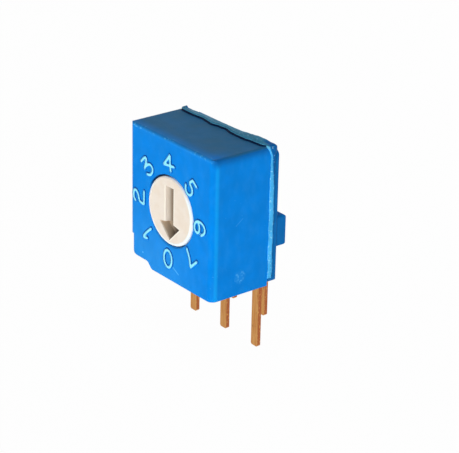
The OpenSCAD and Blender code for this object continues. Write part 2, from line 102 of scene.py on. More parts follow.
def stand(name: str, data: bpy.types.ID) -> bpy.types.Object:
    """Puts a new object into the scene.

    Args:
        name: The object's name.
        data: Its mesh, lamp or camera.

    Returns:
        The object.
    """
    made = bpy.data.objects.new(name, data)
    bpy.context.scene.collection.objects.link(made)
    return made


class Side(Enum):
    """The two sides of the switch, as seen from the front."""

    LEFT = -1
    RIGHT = 1


@dataclass(frozen=True)
class Box:
    """A box in millimetres, in the frame's own axes.

    Attributes:
        low: The lowest corner.
        high: The highest corner.
    """

    low: Vector
    high: Vector

    @classmethod
    def of(cls, node: str) -> "Box":
        """Returns the box of a node of the frame."""
        low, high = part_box(node)
        return cls(low / MM, high / MM)

    @property
    def centre(self) -> Vector:
        """The middle of the box."""
        return (self.low + self.high) / 2


class Value:
    """A number that may vary over the surface, held by a socket, with its arithmetic."""

    def __init__(self, graph: "Graph", socket: bpy.types.NodeSocket) -> None:
        """Wraps a socket.

        Args:
            graph: The graph that the socket belongs to.
            socket: An output that carries one number.
        """
        self.graph = graph
        self.socket = socket

    def _math(self, operation: str, *operands: "Value | float", clamp: bool = False) -> "Value":
        """Adds a Math node.

        Args:
            operation: The node's operation.
            operands: What goes into its inputs, in order.
            clamp: Whether the result is kept from 0 to 1.

        Returns:
            The node's result.
        """
        settings = {"operation": operation, "use_clamp": clamp}
        node = self.graph.node("ShaderNodeMath", settings, dict(enumerate(operands)))
        return Value(self.graph, node.outputs[0])

    def __add__(self, other: "Value | float") -> "Value":
        """Returns the sum."""
        return self._math("ADD", self, other)

    def __radd__(self, other: float) -> "Value":
        """Returns the sum with a number on the left."""
        return self._math("ADD", other, self)

    def __sub__(self, other: "Value | float") -> "Value":
        """Returns the difference."""
        return self._math("SUBTRACT", self, other)

    def __rsub__(self, other: float) -> "Value":
        """Returns the difference with a number on the left."""
        return self._math("SUBTRACT", other, self)

    def __mul__(self, other: "Value | float") -> "Value":
        """Returns the product."""
        return self._math("MULTIPLY", self, other)

    def __rmul__(self, other: float) -> "Value":
        """Returns the product with a number on the left."""
        return self._math("MULTIPLY", other, self)

    def __truediv__(self, other: "Value | float") -> "Value":
        """Returns the quotient."""
        return self._math("DIVIDE", self, other)

    def __rtruediv__(self, other: float) -> "Value":
        """Returns the quotient with a number on the left."""
        return self._math("DIVIDE", other, self)

    def __pow__(self, other: "Value | float") -> "Value":
        """Returns the power."""
        return self._math("POWER", self, other)

    def __rpow__(self, other: float) -> "Value":
        """Returns the power with a number on the left."""
        return self._math("POWER", other, self)

    def __abs__(self) -> "Value":
        """Returns the value without its sign."""
        return self._math("ABSOLUTE", self)

    def most(self, other: "Value | float") -> "Value":
        """Returns the larger of the two."""
        return self._math("MAXIMUM", self, other)

    def clamped(self) -> "Value":
        """Returns the value kept from 0 to 1."""
        return self._math("ADD", self, 0.0, clamp=True)

    def rise(self, start: float, end: float) -> "Value":
        """Turns the value into a smooth step.

        Args:
            start: The value at which the step is 0.
            end: The value at which the step is 1. It may be the smaller one.

        Returns:
            The step, from 0 to 1.
        """
        settings = {"interpolation_type": "SMOOTHSTEP", "clamp": True}
        ends = {"Value": self, "From Min": start, "From Max": end}
        node = self.graph.node("ShaderNodeMapRange", settings, ends)
        return Value(self.graph, node.outputs["Result"])


class Graph:
    """A material's shader graph, in which one method adds any node."""

    def __init__(self, tree: bpy.types.NodeTree) -> None:
        """Empties a node tree and keeps it.

        Args:
            tree: The tree to fill.
        """
        self.tree = tree
        self.tree.nodes.clear()
        self._place: bpy.types.NodeSocket | None = None

    def node(
        self,
        kind: str,
        settings: dict[str, object] | None = None,
        inputs: dict[str | int, object] | None = None,
    ) -> bpy.types.Node:
        """Adds a node.

        Args:
            kind: The node's type.
            settings: Its own settings, which are set first.
            inputs: What goes into its sockets: a Value, an output or a constant.

        Returns:
            The new node.
        """
        made = self.tree.nodes.new(kind)
        for name, setting in (settings or {}).items():
            setattr(made, name, setting)
        for name, given in (inputs or {}).items():
            socket = given.socket if isinstance(given, Value) else given
            if isinstance(socket, bpy.types.NodeSocket):
                self.tree.links.new(socket, made.inputs[name])
            else:
                made.inputs[name].default_value = socket
        return made

    def place(self) -> bpy.types.NodeSocket:
        """Finds the point on the piece, in the frame's axes.

        Returns:
            The point in millimetres.
        """
        if self._place is None:
            point = self.node("ShaderNodeTexCoord").outputs["Object"]
            inputs = {0: point, "Scale": 1 / MM}
            self._place = self.node("ShaderNodeVectorMath", {"operation": "SCALE"}, inputs).outputs[0]
        return self._place

    def parts(self, vector: bpy.types.NodeSocket) -> tuple[Value, Value, Value]:
        """Returns the three numbers of a vector."""
        split = self.node("ShaderNodeSeparateXYZ", None, {0: vector})
        return tuple(Value(self, output) for output in split.outputs)

    def past(self, corner: Sequence[float]) -> tuple[Value, Value, Value]:
        """Returns how far the point lies to the right of, behind and above a corner."""
        return tuple(part - mark for part, mark in zip(self.parts(self.place()), corner))

    def normal(self) -> tuple[Value, Value, Value]:
        """Returns the direction in which the surface faces."""
        return self.parts(self.node("ShaderNodeNewGeometry").outputs["Normal"])

    def grain(self, size: float, detail: float = 2.0, stretch: Colour = (1, 1, 1)) -> Value:
        """Adds a soft noise.

        Args:
            size: The size of its features in millimetres.
            detail: How much finer noise it holds.
            stretch: How many times longer the features are along X, Y and Z.

        Returns:
            The noise, from 0 to 1 with its middle at 0.5.
        """
        squeeze = tuple(1 / (size * longer) for longer in stretch)
        scaled = self.node(
            "ShaderNodeVectorMath", {"operation": "MULTIPLY"}, {0: self.place(), 1: squeeze}
        )
        inputs = {"Vector": scaled.outputs[0], "Scale": 1.0, "Detail": detail}
        return Value(self, self.node("ShaderNodeTexNoise", None, inputs).outputs[0])

    def blend(self, factor: "Value | float", first: Paint, second: Paint) -> bpy.types.NodeSocket:
        """Mixes two colours.

        Args:
            factor: The share of the second colour.
            first: A colour or a colour output.
            second: A colour or a colour output.

        Returns:
            The colour output.
        """
        settings = {"data_type": "RGBA", "blend_type": "MIX", "clamp_result": True}
        ends = [c if isinstance(c, bpy.types.NodeSocket) else (*c, 1.0) for c in (first, second)]
        # The Mix node's colours are its inputs 6 and 7 and its output 2.
        return self.node("ShaderNodeMix", settings, {0: factor, 6: ends[0], 7: ends[1]}).outputs[2]

    def stroke(self, across: Value, up: Value, start: Point, end: Point, width: float) -> Value:
        """Masks a thin straight mark.

        Args:
            across: The first coordinate on the face.
            up: The second coordinate on the face.
            start: Where the mark starts.
            end: Where the mark ends.
            width: Its width.

        Returns:
            1 on the mark and 0 off it.
        """
        run, climb = end[0] - start[0], end[1] - start[1]
        along = ((across - start[0]) * run + (up - start[1]) * climb) / (run**2 + climb**2)
        along = along.clamped()
        miss = (across - start[0] - along * run) ** 2.0 + (up - start[1] - along * climb) ** 2.0
        return (miss**0.5).rise(width / 2, width / 5)

    def patch(self, across: Value, up: Value, centre: Point, radii: Point) -> Value:
        """Masks a soft oval.

        Args:
            across: The first coordinate on the face.
            up: The second coordinate on the face.
            centre: The middle of the oval.
            radii: Its two radii.

        Returns:
            1 in the middle, falling to 0 at the rim.
        """
        wide = (across - centre[0]) / radii[0]
        high = (up - centre[1]) / radii[1]
        return (wide * wide + high * high).rise(1.0, 0.1)

    def bump(self, height: Value, depth: float) -> bpy.types.NodeSocket:
        """Turns a height into a bump.

        Args:
            height: The height, as a share of the depth.
            depth: The depth in millimetres.

        Returns:
            The bumped normal.
        """
        inputs = {"Height": height, "Distance": depth * MM, "Strength": 1.0}
        return self.node("ShaderNodeBump", None, inputs).outputs["Normal"]

    def finish(self, inputs: dict[str | int, object]) -> None:
        """Closes the graph with a surface.

        Args:
            inputs: What goes into the surface's sockets.
        """
        surface = self.node("ShaderNodeBsdfPrincipled", None, inputs)
        self.node("ShaderNodeOutputMaterial", None, {"Surface": surface.outputs[0]})


@dataclass(frozen=True)
class Finish:
    """A finish that can be made into a material.

    Attributes:
        name: The material's name.
    """

    name: str

    def fill(self, graph: Graph) -> None:
        """Fills the material's graph.

        Args:
            graph: The graph to fill.
        """
        raise NotImplementedError

    def material(self) -> bpy.types.Material:
        """Makes the material.

        Returns:
            The material, filled.
        """
        made = bpy.data.materials.new(self.name)
        made.use_nodes = True
        self.fill(Graph(made.node_tree))
        return made


@dataclass(frozen=True)
class MouldedBlue(Finish):
    """Blue moulded plastic with a fine grain and a slight mottle.

    Attributes:
        colour: The plastic's colour.
        pale: The colour of wear and stretched places; the housing also uses it for painted light.
        roughness: The middle roughness.
        grain_depth: The depth of the moulded grain in millimetres.
    """

    colour: Colour = srgb(0, 137, 234)
    pale: Colour = srgb(96, 196, 255)
    roughness: float = 0.46
    grain_depth: float = 0.004

    def base(self, graph: Graph) -> bpy.types.NodeSocket:
        """Mottles the plastic.

        Args:
            graph: The finish's graph.

        Returns:
            The colour output.
        """
        mottle = graph.grain(0.9, 3.0).rise(0.3, 0.75)
        flow = graph.grain(0.35, 2.0, (1, 1, 2)).rise(0.4, 0.8)
        deep = dimmed(self.colour, 0.9)
        return graph.blend(flow * 0.05, graph.blend(mottle, deep, self.colour), self.pale)

    def marks(self, graph: Graph) -> Value:
        """Returns where the plastic is worn pale. Plain plastic has only tiny specks."""
        return graph.grain(0.11, 1.0).rise(0.75, 0.79) * 0.5

    def shade(self, graph: Graph, colour: bpy.types.NodeSocket) -> bpy.types.NodeSocket:
        """Returns the colour with its painted light and shade. Plain plastic has none."""
        return colour

    def fill(self, graph: Graph) -> None:
        """Fills the graph with grain, mottle and wear.

        Args:
            graph: The finish's graph.
        """
        marks = self.marks(graph)
        colour = self.shade(graph, graph.blend(marks, self.base(graph), self.pale))
        skin = graph.grain(0.05) + graph.grain(0.3) * 0.8 + marks * 0.5
        wear = (graph.grain(0.6) - 0.5) * 0.16
        graph.finish({
            "Base Color": colour,
            "Roughness": wear + self.roughness + marks * 0.15,
            "Specular IOR Level": 0.06,
            "Normal": graph.bump(skin, self.grain_depth),
        })


@dataclass(frozen=True)
class HousingBlue(MouldedBlue):
    """The housing's plastic with its scuffs and nicked spots, and with painted light and shade on it.

    Attributes:
        box: The housing's box.
        shaded_top: The colour of the painted shade on the top face.
        shaded: The colour of the painted shade at the top of the right side.
        edge_highlight: The colour of the painted highlight on the rounded upright edge.
        gap: The colour of the painted shade in the mouth of the dial's hole.
        axis_z: The height of the dial's axis.
        mouth_r: The radius at which the painted shade in that mouth ends.
        scuff: The middle of the scuff on the right side, as Y and Z.
        scratch: The ends of the scratch on the right side, as Y and Z.
        tick: The ends of the pale tick on the front, as X and Z.
        speck: The middle of the speck on the front, as X and Z.
    """

    box: Box = field(default_factory=lambda: Box.of("housing"))
    shaded_top: Colour = srgb(44, 106, 142)
    shaded: Colour = srgb(10, 84, 150)
    edge_highlight: Colour = srgb(20, 176, 255)
    gap: Colour = srgb(0, 24, 62)
    axis_z: float = field(default_factory=lambda: Box.of("dial").centre.z)
    mouth_r: float = 1.92
    scuff: Point = (-1.85, 0.95)
    scratch: tuple[Point, Point] = ((-2.15, 3.75), (-1.73, 4.07))
    tick: tuple[Point, Point] = ((0.29, 0.77), (0.74, 0.55))
    speck: Point = (-2.26, 0.68)

    def marks(self, graph: Graph) -> Value:
        """Masks the specks, the nicked spots along the edges with a painted highlight along the top
        front one, the scuff and the scratches.

        Args:
            graph: The finish's graph.

        Returns:
            How pale the plastic is there, from 0 to 1.
        """
        x, y, z = graph.parts(graph.place())
        beside, behind, above = graph.past((self.box.high.x, self.box.low.y, self.box.high.z))
        right = beside.rise(-0.2, -0.05)
        front = behind.rise(0.2, 0.05)
        broken = graph.grain(0.16)
        upper_edge = above.rise(-0.22, -0.1) * behind.rise(0.3, 0.12)
        side_edge = beside.rise(-0.24, -0.1) * behind.rise(0.26, 0.1)
        # Nicked spots along the top front edge over a thin painted highlight that runs the whole edge;
        # more nicked spots low on the upright edge.
        nicks_and_highlight = upper_edge * (broken.rise(0.6, 0.7) * 0.6 + 0.1)
        nicks_and_highlight = nicks_and_highlight + side_edge * broken.rise(0.7, 0.76) * z.rise(2.2, 0.6) * 0.5
        scuff = graph.patch(y, z, self.scuff, (0.4, 0.44))
        scuff = scuff * (graph.grain(0.14, 3.0).rise(0.46, 0.66) * 0.5 + 0.08) * right
        scratch = graph.stroke(y, z, *self.scratch, 0.05) * right * 0.3
        tick = graph.stroke(x, z, *self.tick, 0.1) * front
        speck = graph.patch(x, z, self.speck, (0.06, 0.06)) * front
        plain = MouldedBlue.marks(self, graph) * 0.5
        return (plain + nicks_and_highlight + scuff + scratch + tick * 0.6 + speck).clamped()

    def shade(self, graph: Graph, colour: bpy.types.NodeSocket) -> bpy.types.NodeSocket:
        """Paints shade on the top, the right side and the hole, and light on the front and the upright
        edge.

        Args:
            graph: The finish's graph.
            colour: The colour below them.

        Returns:
            The colour output.
        """
        x, _, z = graph.parts(graph.place())
        _, _, up = graph.normal()
        beside, behind, above = graph.past((self.box.high.x, self.box.low.y, self.box.high.z))
        # Painted light: the front face grows paler towards the bottom and towards the left.
        bottom_light = behind.rise(0.1, 0.04) * z.rise(4.6, 0.6) * x.rise(3.2, -1.0) * 0.14
        colour = graph.blend(bottom_light, colour, self.pale)
        # Painted highlight: a pale band on the rounded upright edge between the front and the right
        # side, fading near the top.
        highlight_band = abs(behind - 0.28).rise(0.16, 0.03) * beside.rise(-0.2, -0.06)
        colour = graph.blend(highlight_band * above.rise(-0.1, -0.6) * 0.45, colour, self.edge_highlight)
        # Painted shade: dark navy in the mouth of the dial's hole, at its upper left.
        over_axis = z - self.axis_z
        mouth = (x * x + over_axis * over_axis) ** 0.5
        hole_shade = mouth.rise(self.mouth_r, self.mouth_r - 0.06)
        hole_shade = hole_shade * (over_axis * 0.83 - x * 0.55).rise(1.45, 1.8)
        colour = graph.blend(hole_shade * 0.9, colour, self.gap)
        # Painted shade: the right side darkens towards its top edge.
        side_shade = above.rise(-0.55, 0.0) * beside.rise(-0.3, -0.02)
        colour = graph.blend(side_shade * 0.8, colour, self.shaded)
        # Painted shade on the faces that look up, stronger farther back and weaker at the right front
        # corner.
        cloud = graph.grain(1.4, 3.0).rise(0.2, 0.8)
        back = behind.rise(0.05, 0.8) * 0.6 + 0.4
        corner = 1 - beside.rise(-1.2, -0.1) * behind.rise(1.6, 0.1) * 0.9
        top_shade = up.rise(0.15, 0.95) * (cloud * 0.2 + 0.75) * back * corner
        return graph.blend(top_shade, colour, self.shaded_top)


@dataclass(frozen=True)
class FigureCyan(MouldedBlue):
    """The raised figures, with a pale cyan painted highlight on their crests and painted shade on
    their upper right flanks.

    Attributes:
        flank: The colour of a stroke's flank at the lower left.
        flank_shade: The colour of the painted shade on a stroke's flank at the upper right.
    """

    flank: Colour = srgb(0, 137, 234)
    flank_shade: Colour = srgb(0, 86, 176)

    def base(self, graph: Graph) -> bpy.types.NodeSocket:
        """Paints light and shade on a stroke by the way it faces.

        Args:
            graph: The finish's graph.

        Returns:
            The colour output.
        """
        right, toward, up = graph.normal()
        # Painted shade on the flanks that face up and right, painted highlight on the crest that faces
        # forward.
        shade_side = ((right + up) * 0.7).rise(-0.1, 0.5)
        flank = graph.blend(shade_side, self.flank, self.flank_shade)
        return graph.blend((0 - toward).rise(0.89, 0.97), flank, self.colour)


@dataclass(frozen=True)
class CreamPlastic(Finish):
    """The dial's cream plastic, with painted highlights on its rim and arrow and painted shade in its
    recesses.

    Attributes:
        box: The dial's box, whose front is the dial's face.
        rim_r: The radius at which the rim starts.
        colour: The cream of the face.
        rim: The colour of the painted highlight on the rim.
        lit: The colour of the painted highlights along the arrow's edges.
        recess_shade_and_dirt: The colour of the painted shade in the trough, and of the dirt specks.
        pocket_lit: The colour of the arrowhead's pocket at its lit left, where its painted shade
            starts.
        shadow: The colour of the arrowhead at its right, and of the trough's right edge.
        edge_highlight: The painted highlights along the arrow's edges: where each starts and ends, and
            its width.
    """

    box: Box = field(default_factory=lambda: Box.of("dial"))
    rim_r: float = 1.6
    colour: Colour = srgb(240, 229, 215)
    rim: Colour = srgb(244, 254, 255)
    lit: Colour = srgb(255, 248, 232)
    recess_shade_and_dirt: Colour = srgb(140, 124, 106)
    pocket_lit: Colour = srgb(226, 206, 180)
    shadow: Colour = srgb(84, 72, 62)
    edge_highlight: tuple[tuple[Point, Point, float], ...] = (
        ((-0.39, -0.6), (-0.39, 1.2), 0.18),
        ((0.35, -0.62), (0.35, 1.25), 0.1),
        ((0.35, -0.62), (0.84, -0.69), 0.08),
        ((0.03, -1.56), (0.84, -0.74), 0.09),
    )

    def fill(self, graph: Graph) -> None:
        """Fills the graph by depth behind the face and by distance from the axis.

        Args:
            graph: The finish's graph.
        """
        x, y, z = graph.parts(graph.place())
        depth = y - self.box.low.y
        above = z - self.box.centre.z
        reach = (x * x + above * above) ** 0.5
        sunk = depth.rise(0.05, 0.12) * reach.rise(1.66, 1.6)
        cloud = graph.grain(0.5, 3.0)
        warm = tuple(level * share for level, share in zip(self.colour, (0.97, 0.94, 0.9)))
        colour = graph.blend(cloud.rise(0.35, 0.7), self.colour, warm)
        # Painted highlights along the arrow's edges.
        for start, end, width in self.edge_highlight:
            colour = graph.blend(graph.stroke(x, above, start, end, width) * 0.65, colour, self.lit)
        # Painted shade in the trough: pale at its left, darker to the right, with a painted shadow
        # line at its right side.
        trough = graph.blend(x.rise(-0.34, -0.14), colour, self.recess_shade_and_dirt)
        trough = graph.blend(x.rise(-0.12, -0.05) * 0.7, trough, self.shadow)
        colour = graph.blend(sunk, colour, trough)
        # Painted light and shade in the arrowhead's pocket: lit at the left, darker deeper down and to
        # the right.
        head = graph.blend((x + depth * 1.1).rise(-0.66, 0.8), self.pocket_lit, self.shadow)
        pocket = depth.rise(0.33, 0.36).most(above.rise(-0.58, -0.64))
        colour = graph.blend(sunk * pocket, colour, head)
        # Painted highlight on the rim, left off at the top, with a fainter band at its outer edge all
        # round.
        edge = reach.rise(self.rim_r, self.rim_r + 0.09) * above.rise(1.55, 0.8)
        edge = edge.most(reach.rise(1.71, 1.77) * 0.6)
        colour = graph.blend(edge, colour, self.rim)
        dirt = graph.grain(0.07, 1.0).rise(0.72, 0.8) * 0.18
        colour = graph.blend(dirt, colour, self.recess_shade_and_dirt)
        skin = graph.grain(0.06) + cloud
        graph.finish({
            "Base Color": colour,
            "Roughness": 0.42 + (cloud - 0.5) * 0.2,
            "Specular IOR Level": 0.3,
            "Normal": graph.bump(skin, 0.003),
        })


@dataclass(frozen=True)
class CopperSheet(Finish):
    """Drawn copper-alloy sheet with streaks, red sheared edges and painted highlights on round edges.

    Attributes:
        gold: The colour of the flat faces.
        copper: The colour of the streaks.
        red: The colour of the sheared edges.
        tarnish: The colour of the tarnish.
        bright: The colour of the burnished edges.
    """

    gold: Colour = srgb(216, 160, 92)
    copper: Colour = srgb(200, 134, 70)
    red: Colour = srgb(168, 88, 54)
    tarnish: Colour = srgb(120, 74, 42)
    # bright: The colour of the painted highlight on the rounded long edges.
    bright: Colour = srgb(255, 216, 160)

    def fill(self, graph: Graph) -> None:
        """Fills the graph with streaks, sheared edges, painted edge highlights and tarnish.

        Args:
            graph: The finish's graph.
        """
        sideways, _, _ = graph.normal()
        streak = graph.grain(0.09, 3.0, (1, 1, 14))
        hair = graph.grain(0.025, 1.0, (1, 1, 40))
        colour = graph.blend(streak.rise(0.38, 0.62), self.gold, self.copper)
        sheared = abs(sideways).rise(0.6, 0.9)
        speckle = graph.grain(0.07, 2.0, (1, 1, 2)).rise(0.55, 0.64)
        colour = graph.blend(sheared * (1 - speckle) * 0.85, colour, self.red)
        # Painted highlight on the rounded long edges, between the flat and the sheared faces.
        edge = abs(sideways).rise(0.2, 0.45) * abs(sideways).rise(0.97, 0.8)
        colour = graph.blend(edge * speckle.most(0.45), colour, self.bright)
        spots = graph.grain(0.14, 3.0, (1, 1, 2)).rise(0.62, 0.75)
        colour = graph.blend(spots * 0.5, colour, self.tarnish)
        rough = 0.34 + (hair - 0.5) * 0.25 + sheared * 0.08 + spots * 0.15
        graph.finish({
            "Base Color": colour,
            "Metallic": 1.0,
            "Roughness": rough,
            "Normal": graph.bump(hair + streak, 0.003),
        })


@dataclass(frozen=True)
class InnerSolid(Finish):
    """Rubber, black plastic or laminate of an inner piece, with a fine grain.

    Attributes:
        colour: The colour.
        marked: The colour of its grain.
        roughness: The middle roughness.
        grain: The size of the grain in millimetres.
        stretch: How many times longer the grain is along X, Y and Z.
        metallic: 1 for metal and 0 for the rest.
        onset: The level of the noise at which the grain starts.
        spread: How much the roughness varies.
        depth: The depth of the grain in millimetres.
    """

    colour: Colour = srgb(28, 28, 30)
    marked: Colour = srgb(48, 48, 52)
    roughness: float = 0.6
    grain: float = 0.12
    stretch: Colour = (1, 1, 1)
    metallic: float = 0.0
    onset: float = 0.45
    spread: float = 0.15
    depth: float = 0.004

    def fill(self, graph: Graph) -> None:
        """Fills the graph with the grain.

        Args:
            graph: The finish's graph.
        """
        marks = graph.grain(self.grain, 3.0, self.stretch)
        graph.finish({
            "Base Color": graph.blend(marks.rise(self.onset, 0.7), self.colour, self.marked),
            "Metallic": self.metallic,
            "Roughness": self.roughness + (marks - 0.5) * self.spread,
            "Normal": graph.bump(marks, self.depth),
        })


@dataclass(frozen=True)
class InnerMetal(InnerSolid):
    """Metal of an inner piece, with brushed or rolled marks."""

    colour: Colour = srgb(205, 205, 208)
    marked: Colour = srgb(150, 150, 155)
    roughness: float = 0.25
    grain: float = 0.06
    metallic: float = 1.0
    onset: float = 0.4
    spread: float = 0.2
    depth: float = 0.002


@dataclass(frozen=True)
class FloorWhite(Finish):
    """The floor's paper and the white round it, which give little light of their own.

    Attributes:
        ambient: The light that the white gives every face.
        gloss: How bright the white is in a gloss.
        plain: The share of plain white in the floor, where the camera sees it.
        paper: The colour of the floor where it takes the shadow.
    """

    ambient: float = 0.16
    gloss: float = 0.8
    plain: float = 0.98
    paper: Colour = (0.9, 0.9, 0.9)

    def level(self, graph: Graph) -> Value:
        """Works out how bright the white is: full to the eye, softer in a gloss.

        Args:
            graph: The finish's graph.

        Returns:
            The brightness, from 0 to 1.
        """
        path = graph.node("ShaderNodeLightPath")
        seen, glossy = (Value(graph, path.outputs[ray]) for ray in ("Is Camera Ray", "Is Glossy Ray"))
        return (seen + glossy * self.gloss).most(self.ambient)

    def fill(self, graph: Graph) -> None:
        """Fills the graph with paper that is lost in plain white, save for its shadow.

        Args:
            graph: The finish's graph.
        """
        paper = graph.node("ShaderNodeBsdfDiffuse", None, {"Color": (*self.paper, 1.0)})
        glow = graph.node("ShaderNodeEmission", None, {"Color": (1.0, 1.0, 1.0, 1.0), "Strength": 1.0})
        share = self.level(graph).rise(self.ambient, 1.0) * self.plain
        inputs = {0: share, 1: paper.outputs[0], 2: glow.outputs[0]}
        both = graph.node("ShaderNodeMixShader", None, inputs)
        graph.node("ShaderNodeOutputMaterial", None, {"Surface": both.outputs[0]})


class MeshMaker:
    """Makes meshes in millimetres and puts them into the frame in metres."""

    @staticmethod
    def skin(shell: bmesh.types.BMesh, rings: Sequence[Sequence[Vector]]) -> None:
        """Adds a closed skin over rings of points, with a lid at each end.

        Args:
            shell: The mesh to add to.
            rings: Rings with the same number of points each.
        """
        made = [[shell.verts.new(point) for point in ring] for ring in rings]
        sides = len(made[0])
        for here, there in zip(made, made[1:]):
            for i in range(sides):
                j = (i + 1) % sides
                shell.faces.new((here[i], here[j], there[j], there[i]))
        shell.faces.new(list(reversed(made[0])))
        shell.faces.new(made[-1])

    @staticmethod
    def fuse(made: bpy.types.Object, voxel: float) -> None:
        """Fuses an object's crossing shells into one skin and relaxes it.

        Args:
            made: The object, still in millimetres.
            voxel: The grid on which they are fused.
        """
        crossing = made.data
        grid = made.modifiers.new("grid", "REMESH")
        grid.mode = "VOXEL"
        grid.voxel_size = voxel
        relax = made.modifiers.new("relax", "SMOOTH")
        relax.factor = 0.5
        relax.iterations = 3
        bpy.context.view_layer.update()
        seen = made.evaluated_get(bpy.context.evaluated_depsgraph_get())
        made.data = bpy.data.meshes.new_from_object(seen)
        made.modifiers.clear()
        bpy.data.meshes.remove(crossing)

    @staticmethod
    def piece(name: str, shell: bmesh.types.BMesh, voxel: float = 0.0) -> bpy.types.Object:
        """Turns a mesh in millimetres into an object of the frame.

        Args:
            name: The object's name.
            shell: The mesh, which is freed.
            voxel: The grid on which crossing shells are fused, or 0 to leave them.

        Returns:
            The object, smooth shaded.
        """
        bmesh.ops.recalc_face_normals(shell, faces=shell.faces)
        mesh = bpy.data.meshes.new(name)
        shell.to_mesh(mesh)
        shell.free()
        made = stand(name, mesh)
        if voxel:
            MeshMaker.fuse(made, voxel)
        made.data.name = name
        made.data.transform(Matrix.Scale(MM, 4))
        made.data.shade_smooth()
        return made


def oval(centre: Point, radii: Point, steps: int) -> list[Point]:
    """Returns points round an oval.

    Args:
        centre: The oval's centre.
        radii: Its two radii.
        steps: How many steps it takes.

    Returns:
        The points, from the top round to the top.
    """
    turns = [math.radians(90 + 360 * i / steps) for i in range(steps + 1)]
    return [(centre[0] + radii[0] * math.cos(t), centre[1] + radii[1] * math.sin(t)) for t in turns]


def glyphs() -> list[tuple[Point, list[list[Point]]]]:
    """Gives the figures 0 to 7.

    Returns:
        For each figure where it stands from the dial's axis, and its strokes.
    """
    return [
        ((-0.086, -2.601), [oval((0.04, 0), (0.32, 0.46), 28)]),
        ((-1.875, -1.879), [[(-0.17, 0.15), (0.06, 0.46), (0.09, 0), (0.05, -0.52)]]),
        ((-2.463, -0.016), [[
            (-0.36, 0.4), (-0.26, 0.54), (0.02, 0.6), (0.24, 0.48), (0.18, 0.26), (0.0, 0.17),
            (-0.24, 0.1), (-0.33, -0.06), (-0.33, -0.3), (-0.33, -0.3), (0.36, -0.31),
        ]]),
        ((-1.883, 1.757), [
            [(-0.27, 0.46), (0.18, 0.47), (0.24, 0.32), (-0.26, 0.05)],
            [(-0.14, 0.09), (0.18, 0.07), (0.36, -0.1), (0.34, -0.32), (0.1, -0.45), (-0.12, -0.42),
             (-0.29, -0.27)],
        ]),
        ((0.03, 2.567), [[
            (0.02, -0.42), (-0.05, 0.0), (-0.05, 0.4), (-0.05, 0.4), (-0.53, -0.2), (-0.53, -0.2),
            (0.28, -0.12),
        ]]),
        ((1.708, 1.865), [[
            (0.2, 0.4), (-0.19, 0.35), (-0.19, 0.35), (-0.25, 0.01), (0.08, 0.03), (0.27, -0.14),
            (0.28, -0.38), (0.08, -0.54), (-0.16, -0.49), (-0.31, -0.3),
        ]]),
        ((2.455, 0.001), [[
            (0.39, 0.08), (0.22, 0.33), (-0.02, 0.39), (-0.25, 0.2), (-0.31, -0.08), (-0.21, -0.35),
            (0.04, -0.47), (0.29, -0.4), (0.36, -0.2), (0.22, -0.06), (-0.04, -0.05), (-0.28, -0.2),
        ]]),
        ((1.839, -1.812), [[(-0.2, 0.34), (0.47, 0.32), (0.47, 0.32), (0.2, -0.08), (0.06, -0.54)]]),
    ]


